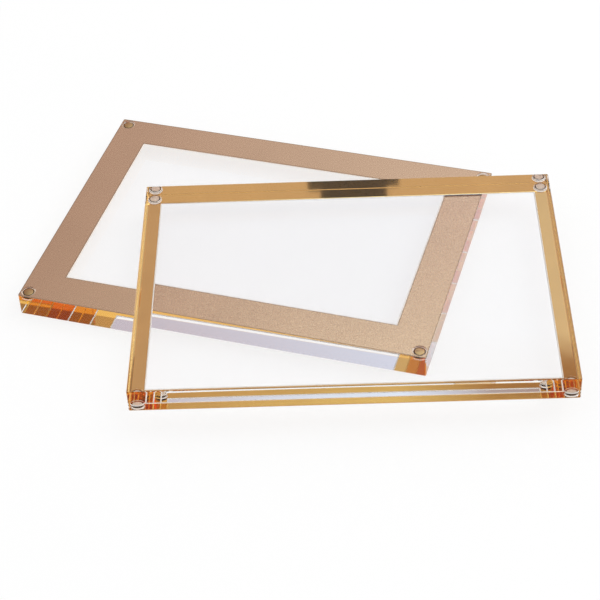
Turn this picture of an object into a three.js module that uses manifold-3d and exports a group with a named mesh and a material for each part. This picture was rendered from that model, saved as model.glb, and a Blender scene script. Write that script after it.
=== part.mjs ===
// Two-piece magnetic acrylic photo frame, taken apart. The back half lies flat with its inner face up,
// and the front half lies across it, turned a little, with its inner face down.
// Millimetres, +Z up. The origin is the centre of the back half's outer face, which is its underside.

import * as THREE from 'three';
import { mergeVertices } from 'three/addons/utils/BufferGeometryUtils.js';
import Module from 'manifold-3d';

const wasm = await Module();
wasm.setup();

// One acrylic block: outer size, and the polished arris along the edges of its outer face and its corners.
// The inner face is square-edged, because the film is trimmed flush with it.
const BLOCK_WIDTH = 184.15;
const BLOCK_DEPTH = 133.35;
const BLOCK_THICKNESS = 10.4;
const ARRIS = 0.4;

// Metallised film borders, bonded to the inner face of each block
const BACK_BORDER_WIDTH = 16.3;
const FRONT_BORDER_WIDTH = 6.4;
const FILM_THICKNESS = 0.2;

// Disc magnets, one let into each corner of each inner face, and the clear glue that beds them
const MAGNET_DIAMETER = 5;
const MAGNET_THICKNESS = 1.5;
const MAGNET_CHAMFER = 0.2;
const MAGNET_INSET = 3.6; // from either edge of the block to the centre of the magnet
const MAGNET_RECESS = 0.2; // how far the magnet sits under the inner face
const GLUE_WALL = 0.4;
const GLUE_FLOOR = 0.5;
const GLUE_FIT = 0.05; // hairline round and under each glued surface

// How the front half lies on the back half
const RESTING_GAP = 0.3; // between the two films
const FRONT_SHIFT_X = 50;
const FRONT_SHIFT_Y = -31.5;
const FRONT_TURN_DEG = 16.45;

const ROUND_SIDES = 40;

// Sizes that follow
const MAGNET_RADIUS = MAGNET_DIAMETER / 2;
const POCKET_RADIUS = MAGNET_RADIUS + GLUE_FIT + GLUE_WALL + GLUE_FIT;
const POCKET_DEPTH = MAGNET_RECESS + MAGNET_THICKNESS + GLUE_FIT + GLUE_FLOOR + GLUE_FIT;
const MAGNET_X = BLOCK_WIDTH / 2 - MAGNET_INSET;
const MAGNET_Y = BLOCK_DEPTH / 2 - MAGNET_INSET;
const BACK_INNER_Z = BLOCK_THICKNESS;
const FRONT_INNER_Z = BACK_INNER_Z + FILM_THICKNESS + RESTING_GAP + FILM_THICKNESS;

// The four corners of a half, seen from above
const CORNERS = [
  { name: 'near_left', x: -MAGNET_X, y: -MAGNET_Y },
  { name: 'near_right', x: MAGNET_X, y: -MAGNET_Y },
  { name: 'far_left', x: -MAGNET_X, y: MAGNET_Y },
  { name: 'far_right', x: MAGNET_X, y: MAGNET_Y },
];

const MATERIALS = {
  acrylic: { color: '#eef0f6', roughness: 0.03, metalness: 0, transparent: true, opacity: 0.35 },
  backFilm: { color: '#b68d6c', roughness: 0.4, metalness: 0.6 },
  frontFilm: { color: '#cfa468', roughness: 0.15, metalness: 1 },
  magnet: { color: '#a58f78', roughness: 0.3, metalness: 1 },
  glue: { color: '#e9e2da', roughness: 0.2, metalness: 0, transparent: true, opacity: 0.6 },
};

function toSolid(geometry) {
  const bare = geometry.clone();
  bare.deleteAttribute('normal');
  bare.deleteAttribute('uv');
  const merged = mergeVertices(bare);
  return new wasm.Manifold(new wasm.Mesh({
    numProp: 3,
    vertProperties: new Float32Array(merged.attributes.position.array),
    triVerts: new Uint32Array(merged.index.array),
  }));
}

function toGeometry(solid) {
  const mesh = solid.getMesh();
  const geometry = new THREE.BufferGeometry();
  geometry.setAttribute('position', new THREE.BufferAttribute(mesh.vertProperties, mesh.numProp));
  geometry.setIndex(new THREE.BufferAttribute(mesh.triVerts, 1));
  geometry.computeVertexNormals();
  return geometry;
}

// A rectangle about the origin with its corners cut off at 45 degrees
function cutRectangle(width, depth, cut) {
  const x = width / 2;
  const y = depth / 2;
  const outline = new THREE.Shape();
  outline.moveTo(x - cut, -y);
  outline.lineTo(x, -y + cut);
  outline.lineTo(x, y - cut);
  outline.lineTo(x - cut, y);
  outline.lineTo(-x + cut, y);
  outline.lineTo(-x, y - cut);
  outline.lineTo(-x, -y + cut);
  outline.lineTo(-x + cut, -y);
  outline.closePath();
  return outline;
}

// Spins an outline of [radius, height] points about +Z
function spin(points) {
  const profile = points.map(([radius, height]) => new THREE.Vector2(radius, height));
  return new THREE.LatheGeometry(profile, ROUND_SIDES).rotateX(Math.PI / 2);
}

// Takes the four corner pockets, from one height to another, out of a solid
function cutPockets(solid, lowZ, highZ) {
  const pocket = new THREE.CylinderGeometry(POCKET_RADIUS, POCKET_RADIUS, highZ - lowZ, ROUND_SIDES);
  pocket.rotateX(Math.PI / 2).translate(0, 0, (lowZ + highZ) / 2);
  let cut = solid;
  for (const corner of CORNERS) {
    cut = cut.subtract(toSolid(pocket.clone().translate(corner.x, corner.y, 0)));
  }
  return cut;
}

// The clear block, from z = 0 up, with a magnet pocket in each corner of its inner face. The slab starts
// one arris too thick, with an arris at both ends, and is then cut square at its inner face.
function blockGeometry(innerUp) {
  const slab = new THREE.ExtrudeGeometry(cutRectangle(BLOCK_WIDTH, BLOCK_DEPTH, ARRIS), {
    depth: BLOCK_THICKNESS - ARRIS,
    bevelEnabled: true,
    bevelThickness: ARRIS,
    bevelSize: ARRIS,
    bevelOffset: -ARRIS,
    bevelSegments: 1,
  }).translate(0, 0, innerUp ? ARRIS : 0);
  const excess = new THREE.BoxGeometry(2 * BLOCK_WIDTH, 2 * BLOCK_DEPTH, 2 * ARRIS);
  excess.translate(0, 0, innerUp ? BLOCK_THICKNESS + ARRIS : -ARRIS);
  const square = toSolid(slab).subtract(toSolid(excess));
  const [lowZ, highZ] = innerUp
    ? [BLOCK_THICKNESS - POCKET_DEPTH, BLOCK_THICKNESS + POCKET_DEPTH]
    : [-POCKET_DEPTH, POCKET_DEPTH];
  return toGeometry(cutPockets(square, lowZ, highZ));
}

// The film border, from z = 0 up, with its window and a hole over each magnet pocket
function borderGeometry(borderWidth) {
  const outline = cutRectangle(BLOCK_WIDTH, BLOCK_DEPTH, ARRIS);
  const sheet = new THREE.ExtrudeGeometry(outline, { depth: FILM_THICKNESS, bevelEnabled: false });
  const window = new THREE.BoxGeometry(
    BLOCK_WIDTH - 2 * borderWidth, BLOCK_DEPTH - 2 * borderWidth, 4 * FILM_THICKNESS);
  const border = toSolid(sheet).subtract(toSolid(window));
  return toGeometry(cutPockets(border, -FILM_THICKNESS, 2 * FILM_THICKNESS));
}

// A disc magnet, from z = 0 up, with both rims chamfered
function magnetGeometry() {
  const rim = MAGNET_RADIUS - MAGNET_CHAMFER;
  return spin([
    [0, 0],
    [rim, 0],
    [MAGNET_RADIUS, MAGNET_CHAMFER],
    [MAGNET_RADIUS, MAGNET_THICKNESS - MAGNET_CHAMFER],
    [rim, MAGNET_THICKNESS],
    [0, MAGNET_THICKNESS],
  ]);
}

// The bed of clear glue: a thin cup that holds the magnet, open at z = its height
function glueGeometry() {
  const outer = MAGNET_RADIUS + GLUE_FIT + GLUE_WALL;
  const inner = MAGNET_RADIUS + GLUE_FIT;
  const height = GLUE_FLOOR + GLUE_FIT + MAGNET_THICKNESS;
  return spin([
    [0, 0],
    [outer, 0],
    [outer, height],
    [inner, height],
    [inner, GLUE_FLOOR],
    [0, GLUE_FLOOR],
  ]);
}

function piece(name, geometry, finish) {
  const mesh = new THREE.Mesh(geometry, new THREE.MeshStandardMaterial(MATERIALS[finish]));
  mesh.name = name;
  return mesh;
}

// One half of the frame, in a group whose z = 0 is the half's inner face. innerUp says which way that
// face looks. Everything on it or let into it is placed from it.
function buildHalf(name, innerUp, borderWidth, filmFinish) {
  const half = new THREE.Group();
  const inward = innerUp ? -1 : 1; // from the inner face into the block

  const block = piece(`${name}_block`, blockGeometry(innerUp), 'acrylic');
  block.position.z = innerUp ? -BLOCK_THICKNESS : 0;
  half.add(block);

  const film = piece(`${name}_gold_border`, borderGeometry(borderWidth), filmFinish);
  film.position.z = innerUp ? 0 : -FILM_THICKNESS;
  half.add(film);

  const magnetMiddle = MAGNET_RECESS + MAGNET_THICKNESS / 2;
  for (const corner of CORNERS) {
    const magnet = piece(`${name}_magnet_${corner.name}`, magnetGeometry(), 'magnet');
    magnet.position.set(corner.x, corner.y, inward * magnetMiddle - MAGNET_THICKNESS / 2);
    half.add(magnet);

    const glue = piece(`${name}_magnet_glue_${corner.name}`, glueGeometry(), 'glue');
    glue.position.set(corner.x, corner.y, inward * (POCKET_DEPTH - GLUE_FIT));
    glue.rotation.x = innerUp ? 0 : Math.PI;
    half.add(glue);
  }
  return half;
}

const photoFrame = new THREE.Group();

const backHalf = buildHalf('back', true, BACK_BORDER_WIDTH, 'backFilm');
backHalf.position.z = BACK_INNER_Z;
photoFrame.add(backHalf);

const frontHalf = buildHalf('front', false, FRONT_BORDER_WIDTH, 'frontFilm');
frontHalf.position.set(FRONT_SHIFT_X, FRONT_SHIFT_Y, FRONT_INNER_Z);
frontHalf.rotation.z = THREE.MathUtils.degToRad(FRONT_TURN_DEG);
photoFrame.add(frontHalf);

export default photoFrame;
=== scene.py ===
"""A magnetic acrylic photo frame, taken apart: the front half lies across the back half."""
import math

import bmesh
import bpy
from bpy.props import FloatProperty, FloatVectorProperty, PointerProperty
from mathutils import Matrix, Vector


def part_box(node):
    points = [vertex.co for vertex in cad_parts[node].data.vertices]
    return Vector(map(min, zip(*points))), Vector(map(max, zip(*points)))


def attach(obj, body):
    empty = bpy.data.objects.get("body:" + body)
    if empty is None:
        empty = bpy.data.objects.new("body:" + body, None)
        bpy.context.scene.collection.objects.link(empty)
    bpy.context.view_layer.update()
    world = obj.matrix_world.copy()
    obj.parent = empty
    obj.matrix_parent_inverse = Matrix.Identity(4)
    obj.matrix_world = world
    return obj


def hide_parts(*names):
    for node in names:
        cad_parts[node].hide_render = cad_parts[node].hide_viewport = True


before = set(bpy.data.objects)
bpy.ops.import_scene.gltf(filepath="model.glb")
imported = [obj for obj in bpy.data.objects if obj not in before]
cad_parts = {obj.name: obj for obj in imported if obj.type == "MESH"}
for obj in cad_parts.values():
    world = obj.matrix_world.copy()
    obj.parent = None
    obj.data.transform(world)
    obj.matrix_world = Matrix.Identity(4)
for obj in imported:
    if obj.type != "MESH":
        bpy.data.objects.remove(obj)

bl_info = {
    "name": "Magnetic Acrylic Photo Frame",
    "version": (1, 0, 0),
    "blender": (4, 5, 0),
    "location": "View3D > Sidebar > Photo Frame",
    "description": "Builds a magnetic acrylic photo frame in two halves and a plain studio round it",
    "category": "Object",
}

MM = 0.001
CORNERS = ("near_left", "near_right", "far_left", "far_right")
POCKET_SIDES = 64
MAGNET_SIDES = 48


class Wire:
    """One output of a shader node, used in sums like a number."""

    def __init__(self, nodes, socket):
        self.nodes = nodes
        self.socket = socket

    def _math(self, operation, first, second):
        return self.nodes.add("ShaderNodeMath", {"operation": operation}, {0: first, 1: second})

    def __add__(self, other):
        return self._math("ADD", self, other)

    def __radd__(self, other):
        return self._math("ADD", other, self)

    def __sub__(self, other):
        return self._math("SUBTRACT", self, other)

    def __rsub__(self, other):
        return self._math("SUBTRACT", other, self)

    def __mul__(self, other):
        return self._math("MULTIPLY", self, other)

    def __rmul__(self, other):
        return self._math("MULTIPLY", other, self)

    def output(self, name):
        """Another output of the same node."""
        return Wire(self.nodes, self.socket.node.outputs[name])


class Nodes:
    """A node tree, emptied and then filled node by node."""

    def __init__(self, tree):
        self.tree = tree
        tree.nodes.clear()

    def add(self, kind, settings=None, sockets=None):
        """Adds a node. Its settings are set first, then its sockets get their values or links."""
        node = self.tree.nodes.new(kind)
        for name, value in (settings or {}).items():
            if name == "stops":
                set_stops(node.color_ramp, value)
            else:
                setattr(node, name, value)
        for key, value in (sockets or {}).items():
            if isinstance(value, Wire):
                self.tree.links.new(value.socket, node.inputs[key])
            else:
                node.inputs[key].default_value = value
        return Wire(self, node.outputs[0]) if node.outputs else None

    def mix(self, factor, first, second):
        """A colour between two colours. In a Mix node, inputs 6 and 7 and output 2 are the colours."""
        mixed = self.add(
            "ShaderNodeMix", {"data_type": "RGBA"}, {"Factor": factor, 6: first, 7: second})
        return Wire(self, mixed.socket.node.outputs[2])

    def pick(self, operation, first, second):
        """The MINIMUM or the MAXIMUM of two values."""
        return self.add("ShaderNodeMath", {"operation": operation}, {0: first, 1: second})

    def clamp(self, value, low, high):
        """A value mapped from the span low to high onto 0 to 1, and cut off there."""
        return self.add("ShaderNodeMapRange", {"clamp": True}, {
            "Value": value, "From Min": low, "From Max": high, "To Min": 0.0, "To Max": 1.0})


def set_stops(ramp, stops):
    """Gives a colour ramp these stops, each a position and a colour."""
    while len(ramp.elements) < len(stops):
        ramp.elements.new(1.0)
    for element, (position, colour) in zip(ramp.elements, stops):
        element.position = position
        element.color = colour


def rgba(colour):
    return (*colour, 1.0)


def shaded(colour, share):
    """This share of a colour."""
    return tuple(share * value for value in colour)


class FrameSizes(bpy.types.PropertyGroup):
    """Sizes of the frame that its boxes don't give."""

    back_border: FloatProperty(
        name="Back border", description="Width of the film border on the back half",
        default=16.3 * MM, unit="LENGTH")
    front_border: FloatProperty(
        name="Front border", description="Width of the film border on the front half",
        default=6.4 * MM, unit="LENGTH")
    arris: FloatProperty(
        name="Arris", description="Width of the polished arris round the outer face of a block",
        default=0.2 * MM, unit="LENGTH")
    corner: FloatProperty(
        name="Corner", description="Width cut off the upright corners of a block and its film",
        default=0.4 * MM, unit="LENGTH")
    pocket_burr: FloatProperty(
        name="Pocket burr", description="Width of the rough ring round the mouth of each magnet pocket",
        default=0.1 * MM, unit="LENGTH")
    magnet_rim: FloatProperty(
        name="Magnet rim", description="Radius of the rounded rims of the magnets",
        default=0.42 * MM, unit="LENGTH")
    magnet_recess: FloatProperty(
        name="Magnet recess", description="How far each magnet sits under the inner face",
        default=0.2 * MM, unit="LENGTH")
    hairline: FloatProperty(
        name="Hairline", description="Gap round and under each glued surface",
        default=0.05 * MM, unit="LENGTH")
    film_bite: FloatProperty(
        name="Film bite", description="How deep the film's mirror side is set into the acrylic",
        default=0.02 * MM, unit="LENGTH")
    magnet_dish: FloatProperty(
        name="Magnet dish", description="How far the open face of each magnet is dished",
        default=0.02 * MM, unit="LENGTH")
    glue_groove: FloatProperty(
        name="Glue groove", description="Depth of the groove in the open ring of the glue",
        default=0.12 * MM, unit="LENGTH")
    pocket_cone: FloatProperty(
        name="Pocket corner",
        description="Width of the sloping corner that the drill leaves in a pocket",
        default=0.25 * MM, unit="LENGTH")
    pocket_cone_height: FloatProperty(
        name="Pocket corner height", description="Height of that sloping corner",
        default=0.6 * MM, unit="LENGTH")
    score_width: FloatProperty(
        name="Score width", description="Width of the knife score along the inner edge of each film",
        default=0.6 * MM, unit="LENGTH")
    score_depth: FloatProperty(
        name="Score depth", description="Depth of the knife score along the inner edge of each film",
        default=0.35 * MM, unit="LENGTH")


class FrameFinishes(bpy.types.PropertyGroup):
    """Colours and surface values of the frame's materials."""

    acrylic_tint: FloatVectorProperty(
        name="Acrylic tint", description="Tint of the clear acrylic", subtype="COLOR",
        default=(0.995, 0.993, 0.996), min=0.0, max=1.0)
    acrylic_gloss: FloatVectorProperty(
        name="Acrylic gloss", description="Strength of the acrylic's reflection straight on",
        subtype="COLOR", default=(0.2, 0.2, 0.2), min=0.0, max=1.0)
    acrylic_index: FloatProperty(
        name="Refractive index", description="Refractive index of cast acrylic", default=1.49)
    gold_mirror: FloatVectorProperty(
        name="Gold mirror", description="Colour of the film's mirror side, which faces the acrylic",
        subtype="COLOR", default=(0.91, 0.56, 0.2), min=0.0, max=1.0)
    gold_edge: FloatVectorProperty(
        name="Gold mirror, aslant", description="Tint of the mirror side where it is seen aslant",
        subtype="COLOR", default=(1.0, 0.6, 0.0), min=0.0, max=1.0)
    scuff_width: FloatProperty(
        name="Scuffed edge", description="Width of the scuff along the outer edge of the mirror side",
        default=0.35 * MM, unit="LENGTH")
    satin_back: FloatVectorProperty(
        name="Satin back", description="Colour of the film's satin back", subtype="COLOR",
        default=(0.75, 0.47, 0.287), min=0.0, max=1.0)
    # A darker line along the outer and inner edges of the satin back.
    dark_edge_width: FloatProperty(
        name="Dark edge", description="Width of the dark line along the edges of the satin back",
        default=0.5 * MM, unit="LENGTH")
    wetted: FloatVectorProperty(
        name="Wetted acrylic", description="Tint of the light that passes into the glue",
        subtype="COLOR", default=(0.97, 0.93, 0.88), min=0.0, max=1.0)
    wetted_shade: FloatVectorProperty(
        name="Wetted acrylic, cloudy", description="The same where the glue is cloudier",
        subtype="COLOR", default=(0.95, 0.89, 0.82), min=0.0, max=1.0)
    frosted: FloatVectorProperty(
        name="Frosted acrylic", description="Colour of acrylic that a blade or a drill has broken up",
        subtype="COLOR", default=(1.0, 0.96, 0.91), min=0.0, max=1.0)
    frosted_shade: FloatVectorProperty(
        name="Frosted acrylic, darker", description="The same in its darker crumbs",
        subtype="COLOR", default=(0.98, 0.91, 0.84), min=0.0, max=1.0)
    glue: FloatVectorProperty(
        name="Glue", description="Colour of the open ring of glue", subtype="COLOR",
        default=(0.92, 0.74, 0.58), min=0.0, max=1.0)
    glue_shade: FloatVectorProperty(
        name="Glue, cloudy", description="The same where the glue is cloudier", subtype="COLOR",
        default=(0.80, 0.61, 0.46), min=0.0, max=1.0)
    nickel: FloatVectorProperty(
        name="Nickel", description="Colour of the magnets' plated back", subtype="COLOR",
        default=(0.78, 0.69, 0.66), min=0.0, max=1.0)
    # Painted shade: the magnets' rims and sides are coloured near-black for the dark ring round each
    # face.
    magnet_rim: FloatVectorProperty(
        name="Magnet rim", description="Colour of the magnets' rims and sides", subtype="COLOR",
        default=(0.07, 0.04, 0.022), min=0.0, max=1.0)
    magnet_face: FloatVectorProperty(
        name="Magnet face", description="Colour of the bronzed face that each magnet shows",
        subtype="COLOR", default=(0.60, 0.345, 0.15), min=0.0, max=1.0)


class StudioSettings(bpy.types.PropertyGroup):
    """The camera and the light."""

    camera_spot: FloatVectorProperty(
        name="Camera", description="Where the camera stands", subtype="TRANSLATION", unit="LENGTH",
        default=(0.2110, -0.5843, 0.5301))
    camera_heading: FloatProperty(
        name="Heading", description="How far the camera looks to the left of +Y", subtype="ANGLE",
        unit="ROTATION", default=math.radians(18.43))
    camera_pitch: FloatProperty(
        name="Pitch", description="How far the camera looks down", subtype="ANGLE", unit="ROTATION",
        default=math.radians(42.15))
    camera_roll: FloatProperty(
        name="Roll", description="How far the camera is tilted to its right", subtype="ANGLE",
        unit="ROTATION", default=math.radians(3.06))
    lens: FloatProperty(name="Lens", description="Focal length in millimetres", default=106.87)
    sensor: FloatProperty(
        name="Sensor", description="Width of the camera's sensor in millimetres", default=36.0)
    wall_far_left: FloatVectorProperty(
        name="Far left wall", description="What the frame mirrors on the far left", subtype="COLOR",
        default=(0.40, 0.31, 0.34), min=0.0, max=4.0)
    wall_left: FloatVectorProperty(
        name="Left wall", description="What the frame mirrors on the left", subtype="COLOR",
        default=(0.58, 0.52, 0.57), min=0.0, max=4.0)
    wall_ahead: FloatVectorProperty(
        name="Wall ahead", description="What the frame mirrors straight ahead", subtype="COLOR",
        default=(0.65, 0.665, 0.76), min=0.0, max=4.0)
    softbox: FloatVectorProperty(
        name="Softbox", description="The bright part of the wall, right of the middle",
        subtype="COLOR", default=(1.35, 1.33, 1.5), min=0.0, max=4.0)
    softbox_edge: FloatVectorProperty(
        name="Softbox edge", description="The left part of the softbox", subtype="COLOR",
        default=(0.73, 0.79, 1.0), min=0.0, max=4.0)
    overhead: FloatVectorProperty(
        name="Overhead light", description="The diffuser high above the table", subtype="COLOR",
        default=(1.86, 2.58, 2.8), min=0.0, max=4.0)
    ceiling: FloatVectorProperty(
        name="Ceiling", description="The dark ceiling on the left", subtype="COLOR",
        default=(0.15, 0.15, 0.15), min=0.0, max=4.0)
    above_softbox: FloatVectorProperty(
        name="Above the softbox", description="The dim ceiling over the softbox", subtype="COLOR",
        default=(0.38, 0.27, 0.24), min=0.0, max=4.0)
    wall_right: FloatVectorProperty(
        name="Right wall", description="The dim part of the wall beside the softbox", subtype="COLOR",
        default=(0.36, 0.29, 0.28), min=0.0, max=4.0)
    wall_behind: FloatVectorProperty(
        name="Wall behind", description="What the frame mirrors from behind the camera",
        subtype="COLOR", default=(0.654, 0.585, 0.575), min=0.0, max=4.0)
    lamp_power: FloatProperty(
        name="Lamp power", description="Power of the soft lamp in watts", default=12.0)
    lamp_size: FloatProperty(
        name="Lamp size", description="Side of the square soft lamp", default=1.6, unit="LENGTH")
    lamp_spot: FloatVectorProperty(
        name="Lamp", description="Where the soft lamp hangs, turned to the frame",
        subtype="TRANSLATION", unit="LENGTH", default=(1.3, 0.9, 1.6))
    floor_glow: FloatProperty(
        name="Floor glow", description="Share of plain white in the floor, which softens shadows",
        subtype="FACTOR", default=0.78)
    floor_size: FloatProperty(
        name="Floor size", description="Half of the floor's side", default=4.0, unit="LENGTH")
    floor_drop: FloatProperty(
        name="Floor drop", description="Gap that keeps the floor and the frame apart",
        default=0.3 * MM, unit="LENGTH")
    card_wide: FloatProperty(
        name="Card width", description="Width of the black card's lower part", default=83 * MM,
        unit="LENGTH")
    card_narrow: FloatProperty(
        name="Card width, above", description="Width of the black card's upper part",
        default=60 * MM, unit="LENGTH")
    card_reach: FloatProperty(
        name="Card reach", description="How far the black card reaches up, and also down",
        default=40 * MM, unit="LENGTH")
    card_aside: FloatProperty(
        name="Card aside", description="How far right of the camera the card's middle is",
        default=10.4 * MM, unit="LENGTH")
    card_black: FloatVectorProperty(
        name="Card", description="Colour of the black card", subtype="COLOR",
        default=(0.055, 0.048, 0.038), min=0.0, max=1.0)
    card_shade: FloatVectorProperty(
        name="Card, darker", description="The same between its fibres", subtype="COLOR",
        default=(0.043, 0.037, 0.029), min=0.0, max=1.0)


def node_height(node):
    low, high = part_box(node)
    return high.z - low.z


def node_radius(node):
    low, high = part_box(node)
    return (high.x - low.x) / 2


def node_middle(node):
    low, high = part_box(node)
    return (low + high) / 2


def pocket_radius(sizes):
    """Radius of the magnet pockets, which the glue fills but for a hairline."""
    return node_radius("back_magnet_glue_near_left") + sizes.hairline


class Half:
    """One half of the frame: its place, its size and where its magnets are. In its own frame, Z points
    out of the inner face, which is at zero."""

    def __init__(self, name, body, inner_up):
        self.name = name
        self.body = body
        # Both blocks have one size, and the back one lies square to the axes, so its box gives it.
        low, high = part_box("back_block")
        self.width = high.x - low.x
        self.depth = high.y - low.y
        self.thickness = high.z - low.z
        low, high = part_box(f"{name}_block")
        self.inner_z = high.z if inner_up else low.z
        spots = {corner: node_middle(f"{name}_magnet_{corner}") for corner in CORNERS}
        centre = sum(spots.values(), Vector()) / len(spots)
        along = spots["near_right"] - spots["near_left"]
        self.turn = math.atan2(along.y, along.x)
        turn = Matrix.Rotation(self.turn, 4, "Z")
        flip = Matrix.Identity(4) if inner_up else Matrix.Rotation(math.pi, 4, "X")
        self.place = Matrix.Translation((centre.x, centre.y, self.inner_z)) @ turn @ flip
        back = self.place.inverted()
        self.spots = {corner: (back @ spot).xy for corner, spot in spots.items()}

    def add_piece(self, name, mesh, materials, slot, replaced, spot=(0.0, 0.0)):
        """Links a mesh, given in the half's own frame, as a piece that rides on the half."""
        for material in materials:
            mesh.materials.append(material)
        mesh.transform(self.place @ Matrix.Translation((spot[0], spot[1], 0.0)))
        piece = bpy.data.objects.new(name, mesh)
        bpy.context.scene.collection.objects.link(piece)
        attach(piece, self.body)
        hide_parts(replaced)


def halves():
    return Half("back", "back_half", True), Half("front", "front_half", False)


def add_slab(bm, width, depth, low_z, high_z):
    """Adds a plain box to bm, centred on the Z axis."""
    size = Matrix.Diagonal((width, depth, high_z - low_z, 1.0))
    place = Matrix.Translation((0.0, 0.0, (low_z + high_z) / 2))
    bmesh.ops.create_cube(bm, size=1.0, matrix=place @ size)


def upright_edges(bm):
    level = 0.1 * MM
    return [edge for edge in bm.edges if abs(edge.verts[0].co.z - edge.verts[1].co.z) > level]


def cut_edges(bm, edges, width):
    """Cuts a flat along some edges of bm, which takes this width off the faces at either side."""
    bmesh.ops.bevel(
        bm, geom=edges, offset=width, offset_type="OFFSET", segments=1, profile=0.5, affect="EDGES")


def add_cylinders(bm, spots, radius, low_z, high_z, sides):
    """Adds an upright cylinder to bm at each spot."""
    for spot in spots:
        place = Matrix.Translation((spot[0], spot[1], (low_z + high_z) / 2))
        bmesh.ops.create_cone(
            bm, cap_ends=True, segments=sides, radius1=radius, radius2=radius,
            depth=high_z - low_z, matrix=place)


def add_score(bm, width, depth, score_width, score_depth):
    """Adds the V-shaped tool of a score that runs just inside a rectangle of this width and depth. It
    stands as far out of the face as it cuts into it."""
    proud = score_depth
    flare = score_width / 2 * (score_depth + proud) / score_depth
    middle = score_width / 2
    section = ((middle - flare, proud), (middle + flare, proud), (middle, -score_depth))
    ways = ((-1, -1), (1, -1), (1, 1), (-1, 1))
    rings = []
    for inset, height in section:
        x = width / 2 - inset
        y = depth / 2 - inset
        rings.append([bm.verts.new((a * x, b * y, height)) for a, b in ways])
    for ring, after in zip(rings, rings[1:] + rings[:1]):
        for side in range(len(ways)):
            following = (side + 1) % len(ways)
            bm.faces.new((ring[side], ring[following], after[following], after[side]))
    bmesh.ops.recalc_face_normals(bm, faces=bm.faces)


def mesh_from(bm, name):
    mesh = bpy.data.meshes.new(name)
    bm.to_mesh(mesh)
    bm.free()
    return mesh


def cut(body_mesh, cutter_mesh):
    """body_mesh with cutter_mesh taken out of it, as a new mesh."""
    scene = bpy.context.scene
    body = bpy.data.objects.new("cut_body", body_mesh)
    cutter = bpy.data.objects.new("cut_tool", cutter_mesh)
    for thing in (body, cutter):
        scene.collection.objects.link(thing)
    modifier = body.modifiers.new("cut", "BOOLEAN")
    modifier.operation = "DIFFERENCE"
    modifier.solver = "EXACT"
    modifier.object = cutter
    depsgraph = bpy.context.evaluated_depsgraph_get()
    result = bpy.data.meshes.new_from_object(body.evaluated_get(depsgraph))
    for thing in (body, cutter):
        bpy.data.objects.remove(thing)
    return result


def spin(bm, profile, sides, spot=(0.0, 0.0)):
    """Adds a closed solid to bm, spun about a vertical axis from (radius, height) points, of which the
    first and the last are on the axis."""
    first = bm.verts.new((*spot, profile[0][1]))
    last = bm.verts.new((*spot, profile[-1][1]))
    rings = []
    for radius, height in profile[1:-1]:
        ring = []
        for side in range(sides):
            angle = 2 * math.pi * side / sides
            x = spot[0] + radius * math.cos(angle)
            y = spot[1] + radius * math.sin(angle)
            ring.append(bm.verts.new((x, y, height)))
        rings.append(ring)
    for side in range(sides):
        after = (side + 1) % sides
        bm.faces.new((first, rings[0][after], rings[0][side]))
        for lower, upper in zip(rings, rings[1:]):
            bm.faces.new((lower[side], lower[after], upper[after], upper[side]))
        bm.faces.new((last, rings[-1][side], rings[-1][after]))
    bmesh.ops.recalc_face_normals(bm, faces=bm.faces)


def spun_mesh(profile, sides, name):
    bm = bmesh.new()
    spin(bm, profile, sides)
    return mesh_from(bm, name)


def smooth_by_angle(mesh, degrees):
    for polygon in mesh.polygons:
        polygon.use_smooth = True
    mesh.set_sharp_from_angle(angle=math.radians(degrees))


def new_material(name):
    material = bpy.data.materials.new(name)
    material.use_nodes = True
    return material, Nodes(material.node_tree)


def finish_material(nodes, sockets):
    """Ends a material in a Principled BSDF with these socket values and links."""
    surface = nodes.add("ShaderNodeBsdfPrincipled", {}, sockets)
    nodes.add("ShaderNodeOutputMaterial", {}, {"Surface": surface})


def finish_clear_material(nodes, passed, sockets):
    """Ends a clear material the same way. The lamps' light passes straight through it, in this
    colour, where glass would block it."""
    surface = nodes.add("ShaderNodeBsdfPrincipled", {}, {**sockets, "Transmission Weight": 1.0})
    through = nodes.add("ShaderNodeBsdfTransparent", {}, {"Color": rgba(passed)})
    shadow = nodes.add("ShaderNodeLightPath").output("Is Shadow Ray")
    mixed = nodes.add("ShaderNodeMixShader", {}, {0: shadow, 1: surface, 2: through})
    nodes.add("ShaderNodeOutputMaterial", {}, {"Surface": mixed})


def seen_ray(nodes, *kinds):
    """1 for a ray of one of these kinds, and 0 for any other."""
    path = nodes.add("ShaderNodeLightPath")
    found = path.output(kinds[0])
    for kind in kinds[1:]:
        found = nodes.pick("MAXIMUM", found, path.output(kind))
    return found


def object_noise(nodes, scale, detail=2.0):
    """Noise with this many features to the metre, or so."""
    spot = nodes.add("ShaderNodeTexCoord").output("Object")
    return nodes.add("ShaderNodeTexNoise", {}, {"Vector": spot, "Scale": scale, "Detail": detail})


def acrylic_material(finishes):
    """Polished clear acrylic with faint handling smudges in its gloss."""
    material, nodes = new_material("polished_acrylic")
    smudges = nodes.clamp(object_noise(nodes, 38.0, 4.0), 0.52, 0.75)
    finish_clear_material(nodes, (0.96, 0.96, 0.96), {
        "Base Color": rgba(finishes.acrylic_tint),
        "Roughness": 0.002 + smudges * 0.015,
        "IOR": finishes.acrylic_index,
        "Specular Tint": rgba(finishes.acrylic_gloss),
    })
    return material


def wetted_material(finishes):
    """The walls between the acrylic and the glue. Both bend light alike, so it passes straight on."""
    material, nodes = new_material("wetted_by_glue")
    cloud = object_noise(nodes, 1200.0, 3.0)
    finish_clear_material(nodes, (0.95, 0.93, 0.9), {
        "Base Color": nodes.mix(cloud, rgba(finishes.wetted), rgba(finishes.wetted_shade)),
        "Roughness": 0.0,
        "IOR": 1.0,
    })
    return material


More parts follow.
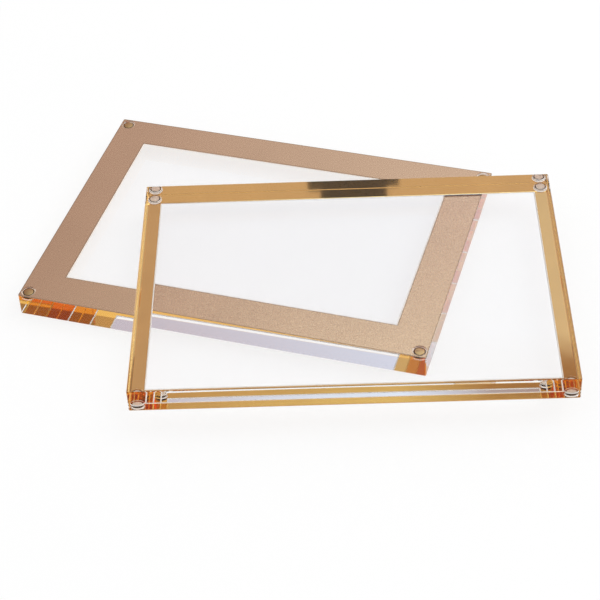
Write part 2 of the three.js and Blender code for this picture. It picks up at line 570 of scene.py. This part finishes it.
def frosted_acrylic_material(finishes):
    """Acrylic broken up by a knife or by the edge of a drill, which looks white."""
    material, nodes = new_material("frosted_acrylic")
    crumbs = object_noise(nodes, 1500.0, 3.0)
    finish_material(nodes, {
        "Base Color": nodes.mix(crumbs, rgba(finishes.frosted), rgba(finishes.frosted_shade)),
        "Roughness": 0.45 + crumbs * 0.2,
        "IOR": finishes.acrylic_index,
        "Transmission Weight": 0.1,
    })
    return material


def distances_to_film_edges(nodes, half, border):
    """How far a point of a half's film is from its outer and from its inner edge."""
    spot = nodes.add("ShaderNodeTexCoord").output("Object")
    centre = half.place.translation
    local = nodes.add("ShaderNodeVectorRotate", {"rotation_type": "Z_AXIS"}, {
        "Vector": spot, "Center": centre, "Angle": -half.turn})
    local = nodes.add("ShaderNodeVectorMath", {"operation": "SUBTRACT"}, {0: local, 1: centre})
    local = nodes.add("ShaderNodeVectorMath", {"operation": "ABSOLUTE"}, {0: local})
    parts = nodes.add("ShaderNodeSeparateXYZ", {}, {0: local})
    x, y = parts, parts.output("Y")
    outer = nodes.pick("MINIMUM", half.width / 2 - x, half.depth / 2 - y)
    inner = nodes.pick("MAXIMUM", x - (half.width / 2 - border), y - (half.depth / 2 - border))
    return outer, inner


def gold_mirror_material(finishes, half, border):
    """The film's mirror side, bonded to the acrylic, with the faint waviness of a hot-pressed foil. Its
    outer edge, which was cut flush with the block, is scuffed."""
    material, nodes = new_material(f"{half.name}_gold_mirror_film")
    outer, _ = distances_to_film_edges(nodes, half, border)
    scuff = nodes.clamp(outer, finishes.scuff_width, 0.7 * finishes.scuff_width)
    ripple = object_noise(nodes, 60.0)
    height = nodes.add("ShaderNodeBump", {}, {"Strength": 0.02, "Distance": 0.0005, "Height": ripple})
    shade = shaded(finishes.gold_mirror, 0.94)
    finish_material(nodes, {
        "Base Color": nodes.mix(
            nodes.clamp(ripple, 0.3, 0.7), rgba(finishes.gold_mirror), rgba(shade)),
        "Metallic": 1.0,
        "Specular Tint": rgba(finishes.gold_edge),
        "Roughness": 0.02 + object_noise(nodes, 400.0) * 0.02 + scuff * 0.5,
        "Normal": height,
    })
    return material


def satin_material(finishes, half, border):
    """The film's exposed back: satin metal the colour of tan leather, with a fine grain. It is darker
    along its edges."""
    material, nodes = new_material(f"{half.name}_satin_film_back")
    cloud = nodes.clamp(object_noise(nodes, 25.0, 3.0), 0.35, 0.65)
    grain = object_noise(nodes, 2500.0)
    shade = shaded(finishes.satin_back, 0.95)
    dark_edge_colour = shaded(finishes.satin_back, 0.62)
    height = nodes.add(
        "ShaderNodeBump", {}, {"Strength": 0.008, "Distance": 0.0001, "Height": grain})
    flat = nodes.mix(cloud, rgba(finishes.satin_back), rgba(shade))
    outer, inner = distances_to_film_edges(nodes, half, border)
    edge = nodes.pick("MINIMUM", outer, inner)
    # Darker along the film's outer and inner edges.
    dark_edge_mask = nodes.clamp(edge, finishes.dark_edge_width, 0.5 * finishes.dark_edge_width)
    finish_material(nodes, {
        "Base Color": nodes.mix(dark_edge_mask, flat, rgba(dark_edge_colour)),
        "Metallic": 1.0,
        "Roughness": 0.245 + grain * 0.05,
        "Normal": height,
    })
    return material


def nickel_material(finishes):
    """The magnets' dull plated back with tumbling marks."""
    material, nodes = new_material("magnet_nickel")
    marks = object_noise(nodes, 1400.0, 3.0)
    shade = shaded(finishes.nickel, 0.7)
    finish_material(nodes, {
        "Base Color": nodes.mix(nodes.clamp(marks, 0.4, 0.7), rgba(finishes.nickel), rgba(shade)),
        "Metallic": 0.35,
        "Roughness": 0.35 + marks * 0.2,
    })
    return material


def magnet_rim_painted_shade_material(finishes):
    """The rims and side of a magnet, coloured near-black as painted shade, with lighter marks of wear.
    """
    material, nodes = new_material("magnet_rim")
    # Painted shade: a near-black base colour on the rims and side, lightened at random by wear.
    wear = object_noise(nodes, 1500.0, 3.0)
    bright = shaded(finishes.magnet_rim, 1.6)
    finish_material(nodes, {
        "Base Color": nodes.mix(
            nodes.clamp(wear, 0.45, 0.75), rgba(finishes.magnet_rim), rgba(bright)),
        "Metallic": 1.0,
        "Roughness": 0.3 + wear * 0.2,
    })
    return material


def magnet_face_material(finishes):
    """The bronzed open face of a magnet, with fine marks of wear."""
    material, nodes = new_material("magnet_face")
    marks = object_noise(nodes, 1800.0, 3.0)
    shade = shaded(finishes.magnet_face, 0.8)
    finish_material(nodes, {
        "Base Color": nodes.mix(
            nodes.clamp(marks, 0.35, 0.65), rgba(finishes.magnet_face), rgba(shade)),
        "Metallic": 1.0,
        "Roughness": 0.3 + marks * 0.15,
    })
    return material


def glue_material(finishes):
    """The open surface of the cured glue, a little cloudy and uneven."""
    material, nodes = new_material("cured_glue")
    cloud = object_noise(nodes, 1200.0, 3.0)
    finish_material(nodes, {
        "Base Color": nodes.mix(cloud, rgba(finishes.glue), rgba(finishes.glue_shade)),
        "Roughness": 0.08 + cloud * 0.1,
        "IOR": finishes.acrylic_index,
        "Transmission Weight": 0.4,
    })
    return material


class PHOTOFRAME_OT_camera(bpy.types.Operator):
    """Puts the camera where the picture was taken from"""

    bl_idname = "photoframe.camera"
    bl_label = "Camera"

    def execute(self, context):
        studio = context.scene.photoframe_studio
        heading = studio.camera_heading
        pitch = studio.camera_pitch
        level = math.cos(pitch)
        ahead = Vector((-math.sin(heading) * level, math.cos(heading) * level, -math.sin(pitch)))
        turn = ahead.to_track_quat("-Z", "Y").to_matrix().to_4x4()
        turn = turn @ Matrix.Rotation(-studio.camera_roll, 4, "Z")
        data = bpy.data.cameras.new("camera")
        data.lens = studio.lens
        data.sensor_width = studio.sensor
        camera = bpy.data.objects.new("camera", data)
        camera.matrix_world = Matrix.Translation(studio.camera_spot) @ turn
        context.scene.collection.objects.link(camera)
        context.scene.camera = camera
        return {"FINISHED"}


class PHOTOFRAME_OT_blocks(bpy.types.Operator):
    """Makes the two clear acrylic blocks, with their arrises, scores and magnet pockets"""

    bl_idname = "photoframe.blocks"
    bl_label = "Acrylic Blocks"

    def execute(self, context):
        sizes = context.scene.photoframe_sizes
        finishes = context.scene.photoframe_finishes
        materials = [
            acrylic_material(finishes), wetted_material(finishes), frosted_acrylic_material(finishes)]
        for half, border in zip(halves(), (sizes.back_border, sizes.front_border)):
            mesh = cut(self.plain_block(half, sizes), self.openings(half, border, sizes))
            self.mark_cuts(mesh, half, sizes)
            smooth_by_angle(mesh, 20)
            half.add_piece(
                f"{half.name}_clear_block", mesh, materials, "clear_acrylic", f"{half.name}_block")
        return {"FINISHED"}

    @staticmethod
    def plain_block(half, sizes):
        """The slab with its corners cut and an arris round its outer face."""
        bm = bmesh.new()
        add_slab(bm, half.width, half.depth, -half.thickness, 0.0)
        cut_edges(bm, upright_edges(bm), sizes.corner)
        outer = [edge for edge in bm.edges if max(end.co.z for end in edge.verts) < 0.0]
        cut_edges(bm, outer, sizes.arris)
        return mesh_from(bm, f"{half.name}_clear_block")

    @staticmethod
    def openings(half, border, sizes):
        """The tools of the score along the film's window and of the four pockets."""
        radius = pocket_radius(sizes)
        depth = sizes.magnet_recess + node_height("back_magnet_glue_near_left") + sizes.hairline
        burr = sizes.pocket_burr
        pocket = (
            (0.0, -depth), (radius - sizes.pocket_cone, -depth),
            (radius, sizes.pocket_cone_height - depth), (radius, -burr), (radius + burr, 0.0),
            (radius + burr + depth, depth), (0.0, depth))
        bm = bmesh.new()
        add_score(
            bm, half.width - 2 * border, half.depth - 2 * border, sizes.score_width,
            sizes.score_depth)
        for spot in half.spots.values():
            spin(bm, pocket, POCKET_SIDES, spot)
        return mesh_from(bm, "openings")

    @staticmethod
    def mark_cuts(mesh, half, sizes):
        """Gives the sloping faces of the score and the pockets the frosted material, and the other
        faces of the pockets the wetted one."""
        wetted, frosted = 1, 2
        mouth = pocket_radius(sizes) + sizes.pocket_burr
        for polygon in mesh.polygons:
            below_inner_face = -half.thickness / 2 < polygon.center.z < -sizes.hairline
            sloping = 0.05 < polygon.normal.z < 0.95
            near = min((polygon.center.xy - spot).length for spot in half.spots.values())
            if below_inner_face and sloping:
                polygon.material_index = frosted
            elif below_inner_face and near < mouth:
                polygon.material_index = wetted


class PHOTOFRAME_OT_borders(bpy.types.Operator):
    """Makes the two gold film borders"""

    bl_idname = "photoframe.borders"
    bl_label = "Film Borders"

    def execute(self, context):
        sizes = context.scene.photoframe_sizes
        finishes = context.scene.photoframe_finishes
        hole_radius = pocket_radius(sizes) + sizes.pocket_burr + sizes.hairline
        for half, border in zip(halves(), (sizes.back_border, sizes.front_border)):
            film = node_height(f"{half.name}_gold_border")
            bm = bmesh.new()
            add_slab(bm, half.width, half.depth, -sizes.film_bite, film)
            cut_edges(bm, upright_edges(bm), sizes.corner)
            sheet = mesh_from(bm, "sheet")
            bm = bmesh.new()
            add_slab(bm, half.width - 2 * border, half.depth - 2 * border, -film, 2 * film)
            add_cylinders(bm, half.spots.values(), hole_radius, -film, 2 * film, POCKET_SIDES)
            mesh = cut(sheet, mesh_from(bm, "openings"))
            mesh.name = f"{half.name}_film_border"
            mirror, satin = 0, 1
            for polygon in mesh.polygons:
                on_acrylic = polygon.normal.z < -0.5
                polygon.material_index = mirror if on_acrylic else satin
            sides = [
                gold_mirror_material(finishes, half, border), satin_material(finishes, half, border)]
            half.add_piece(
                f"{half.name}_film_border", mesh, sides, f"{half.name}_gold_film",
                f"{half.name}_gold_border")
        return {"FINISHED"}


class PHOTOFRAME_OT_magnets(bpy.types.Operator):
    """Makes the disc magnets and the glue beds that hold them"""

    bl_idname = "photoframe.magnets"
    bl_label = "Magnets and Glue"

    def execute(self, context):
        sizes = context.scene.photoframe_sizes
        finishes = context.scene.photoframe_finishes
        plating = [
            nickel_material(finishes), magnet_face_material(finishes), magnet_rim_painted_shade_material(finishes)]
        glue = [glue_material(finishes), wetted_material(finishes)]
        for half in halves():
            for corner in CORNERS:
                self.add_magnet(half, corner, plating, sizes)
                self.add_glue(half, corner, glue, sizes)
        return {"FINISHED"}

    @staticmethod
    def add_magnet(half, corner, plating, sizes):
        """A disc with rounded rims. Its open face is bronzed; its rims and side carry painted shade."""
        node = f"{half.name}_magnet_{corner}"
        radius = node_radius(node)
        thickness = node_height(node)
        top = -sizes.magnet_recess
        rim = sizes.magnet_rim
        turns = [math.radians(angle) for angle in (0, 30, 60, 90)]
        upper = [(radius - rim + rim * math.sin(a), top - rim + rim * math.cos(a)) for a in turns]
        lower = [(r, 2 * top - thickness - z) for r, z in reversed(upper)]
        profile = [(0.0, top - sizes.magnet_dish), *upper, *lower, (0.0, top - thickness)]
        mesh = spun_mesh(profile[::-1], MAGNET_SIDES, f"{half.name}_disc_{corner}")
        smooth_by_angle(mesh, 40)
        open_face, rim_and_side = 1, 2
        for polygon in mesh.polygons:
            level = abs(polygon.normal.z) >= 0.98
            if not level:
                polygon.material_index = rim_and_side
            elif polygon.normal.z > 0.0:
                polygon.material_index = open_face
        half.add_piece(
            f"{half.name}_disc_{corner}", mesh, plating, "magnet", node, half.spots[corner])

    @staticmethod
    def add_glue(half, corner, glue, sizes):
        """A cup round the magnet. Its open ring looks cloudy, and the acrylic wets the rest."""
        node = f"{half.name}_magnet_glue_{corner}"
        magnet_node = f"{half.name}_magnet_{corner}"
        outer = node_radius(node)
        inner = node_radius(magnet_node) + sizes.hairline
        top = -sizes.magnet_recess
        bottom = top - node_height(node)
        floor = top - node_height(magnet_node) - sizes.hairline
        profile = [
            (0.0, bottom), (outer - sizes.pocket_cone, bottom),
            (outer, bottom + sizes.pocket_cone_height), (outer, top),
            ((outer + inner) / 2, top - sizes.glue_groove), (inner, top), (inner, floor), (0.0, floor)]
        mesh = spun_mesh(profile, MAGNET_SIDES, f"{half.name}_glue_bed_{corner}")
        smooth_by_angle(mesh, 50)
        cloudy, wetted = 0, 1
        for polygon in mesh.polygons:
            open_ring = polygon.normal.z > 0.3 and polygon.center.z > (floor + top) / 2
            polygon.material_index = cloudy if open_ring else wetted
        half.add_piece(
            f"{half.name}_glue_bed_{corner}", mesh, glue, "clear_glue", node, half.spots[corner])


class PHOTOFRAME_OT_stage(bpy.types.Operator):
    """Makes the floor, the studio's walls, the soft lamp and the black card"""

    bl_idname = "photoframe.stage"
    bl_label = "Stage"

    def execute(self, context):
        scene = context.scene
        studio = scene.photoframe_studio
        self.add_floor(scene, studio)
        self.add_walls(scene, studio)
        self.add_lamp(scene, studio)
        self.add_black_card(scene, studio)
        scene.view_settings.view_transform = "Standard"
        # Light is reflected many times inside the blocks before it leaves them.
        scene.cycles.max_bounces = 48
        scene.cycles.glossy_bounces = 40
        scene.cycles.transmission_bounces = 40
        return {"FINISHED"}

    @staticmethod
    def add_floor(scene, studio):
        """White paper. A share of it is plain white, so that shadows on it stay light."""
        bm = bmesh.new()
        bmesh.ops.create_grid(bm, x_segments=8, y_segments=8, size=studio.floor_size)
        mesh = mesh_from(bm, "floor")
        material, nodes = new_material("white_floor")
        grain = nodes.clamp(object_noise(nodes, 300.0, 3.0), 0.3, 0.7)
        paper = nodes.add("ShaderNodeBsdfDiffuse", {}, {
            "Color": nodes.mix(grain, rgba((0.96, 0.96, 0.96)), rgba((0.95, 0.95, 0.95)))})
        glow = nodes.add("ShaderNodeEmission", {}, {"Color": rgba((1.0, 1.0, 1.0)), "Strength": 1.0})
        seen = seen_ray(nodes, "Is Camera Ray", "Is Glossy Ray", "Is Transmission Ray")
        surface = nodes.add(
            "ShaderNodeMixShader", {}, {0: seen * studio.floor_glow, 1: paper, 2: glow})
        nodes.add("ShaderNodeOutputMaterial", {}, {"Surface": surface})
        mesh.materials.append(material)
        floor = bpy.data.objects.new("floor", mesh)
        floor.location.z = -studio.floor_drop
        scene.collection.objects.link(floor)

    @staticmethod
    def rise(nodes, value, low, high, measure=float):
        """Rises from 0 at one angle in degrees to 1 at another. The value is the angle in radians, or
        else this measure of it."""
        return nodes.clamp(value, measure(math.radians(low)), measure(math.radians(high)))

    def add_walls(self, scene, studio):
        """Plain white for the camera, a little less for soft light, and the studio's walls in what the
        frame mirrors. Headings are in degrees right of +Y, and the height is the sine of an angle."""
        world = bpy.data.worlds.new("studio")
        world.use_nodes = True
        scene.world = world
        nodes = Nodes(world.node_tree)
        way = nodes.add("ShaderNodeTexCoord").output("Generated")
        right = nodes.add("ShaderNodeSeparateXYZ", {}, {0: way})
        ahead = right.output("Y")
        height = right.output("Z")
        heading = nodes.add("ShaderNodeMath", {"operation": "ARCTAN2"}, {0: right, 1: ahead})
        edge = 45
        places = (
            (-edge, studio.wall_far_left), (-24, studio.wall_left), (-15.5, studio.wall_ahead),
            (-7.5, studio.softbox_edge), (2, studio.softbox), (8, studio.softbox),
            (21, studio.wall_right), (edge, studio.wall_right))
        stops = [((angle + edge) / (2 * edge), rgba(colour)) for angle, colour in places]
        turned = self.rise(nodes, heading, -edge, edge)
        front_walls = nodes.add("ShaderNodeValToRGB", {"stops": stops}, {0: turned})
        above = self.rise(nodes, height, 43.1, 44.1, math.sin) * self.rise(nodes, heading, -14, -10)
        front_walls = nodes.mix(above, front_walls, rgba(studio.above_softbox))
        lit = self.rise(nodes, heading, -29.5, -19.5)
        ceiling = nodes.mix(lit, rgba(studio.ceiling), rgba(studio.overhead))
        front_walls = nodes.mix(self.rise(nodes, height, 45, 50, math.sin), front_walls, ceiling)
        walls = nodes.mix(nodes.clamp(ahead, -0.2, 0.5), rgba(studio.wall_behind), front_walls)
        scattered = nodes.add("ShaderNodeLightPath").output("Diffuse Depth")
        mirrored = seen_ray(nodes, "Is Glossy Ray", "Is Transmission Ray")
        # A ray that comes from a matt surface sees the plain light, however it goes on.
        mirrored = mirrored * nodes.clamp(scattered, 0.5, 0.0)
        around = nodes.mix(mirrored, rgba((0.9, 0.9, 0.9)), walls)
        colour = nodes.mix(seen_ray(nodes, "Is Camera Ray"), around, rgba((1.0, 1.0, 1.0)))
        light = nodes.add("ShaderNodeBackground", {}, {"Color": colour, "Strength": 1.0})
        nodes.add("ShaderNodeOutputWorld", {}, {"Surface": light})

    @staticmethod
    def add_lamp(scene, studio):
        """A large soft lamp on the right, about as bright as the softbox."""
        data = bpy.data.lights.new("soft_lamp", "AREA")
        data.shape = "SQUARE"
        data.size = studio.lamp_size
        data.energy = studio.lamp_power
        lamp = bpy.data.objects.new("soft_lamp", data)
        lamp.location = studio.lamp_spot
        lamp.rotation_euler = (-lamp.location).to_track_quat("-Z", "Y").to_euler()
        scene.collection.objects.link(lamp)

    @staticmethod
    def add_black_card(scene, studio):
        """A black card beside the camera, wide below and narrow above, which darkens the gold that
        looks straight back at it. Only mirrored and refracted rays see it."""
        wide = studio.card_wide / 2
        narrow = studio.card_narrow / 2
        reach = studio.card_reach
        outline = (
            (-wide, -reach), (wide, -reach), (wide, 0.0), (narrow, 0.0), (narrow, reach),
            (-narrow, reach), (-narrow, 0.0), (-wide, 0.0))
        bm = bmesh.new()
        bm.faces.new([bm.verts.new((x, y, 0.0)) for x, y in outline])
        mesh = mesh_from(bm, "black_card")
        material, nodes = new_material("black_card")
        fibre = nodes.clamp(object_noise(nodes, 500.0), 0.3, 0.7)
        finish_material(nodes, {
            "Base Color": nodes.mix(fibre, rgba(studio.card_black), rgba(studio.card_shade)),
            "Roughness": 0.9,
        })
        mesh.materials.append(material)
        card = bpy.data.objects.new("black_card", mesh)
        aside = Matrix.Translation((studio.card_aside, 0.0, 0.0))
        card.matrix_world = scene.camera.matrix_world @ aside
        card.visible_camera = False
        card.visible_diffuse = False
        card.visible_shadow = False
        scene.collection.objects.link(card)


class PHOTOFRAME_PT_panel(bpy.types.Panel):
    """Lists the steps that build the frame, and its settings"""

    bl_idname = "PHOTOFRAME_PT_panel"
    bl_label = "Photo Frame"
    bl_space_type = "VIEW_3D"
    bl_region_type = "UI"
    bl_category = "Photo Frame"

    def draw(self, context):
        for step in STEPS:
            self.layout.operator(step.bl_idname)
        scene = context.scene
        for group in (scene.photoframe_sizes, scene.photoframe_finishes, scene.photoframe_studio):
            box = self.layout.box()
            for name in type(group).__annotations__:
                box.prop(group, name)


STEPS = (
    PHOTOFRAME_OT_camera,
    PHOTOFRAME_OT_blocks,
    PHOTOFRAME_OT_borders,
    PHOTOFRAME_OT_magnets,
    PHOTOFRAME_OT_stage,
)
CLASSES = (FrameSizes, FrameFinishes, StudioSettings, *STEPS, PHOTOFRAME_PT_panel)


def register():
    for item in CLASSES:
        bpy.utils.register_class(item)
    bpy.types.Scene.photoframe_sizes = PointerProperty(type=FrameSizes)
    bpy.types.Scene.photoframe_finishes = PointerProperty(type=FrameFinishes)
    bpy.types.Scene.photoframe_studio = PointerProperty(type=StudioSettings)


def unregister():
    del bpy.types.Scene.photoframe_studio
    del bpy.types.Scene.photoframe_finishes
    del bpy.types.Scene.photoframe_sizes
    for item in reversed(CLASSES):
        bpy.utils.unregister_class(item)


def main():
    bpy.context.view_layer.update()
    register()
    bpy.ops.photoframe.camera()
    bpy.ops.photoframe.blocks()
    bpy.ops.photoframe.borders()
    bpy.ops.photoframe.magnets()
    bpy.ops.photoframe.stage()


if __name__ == "__main__":
    main()
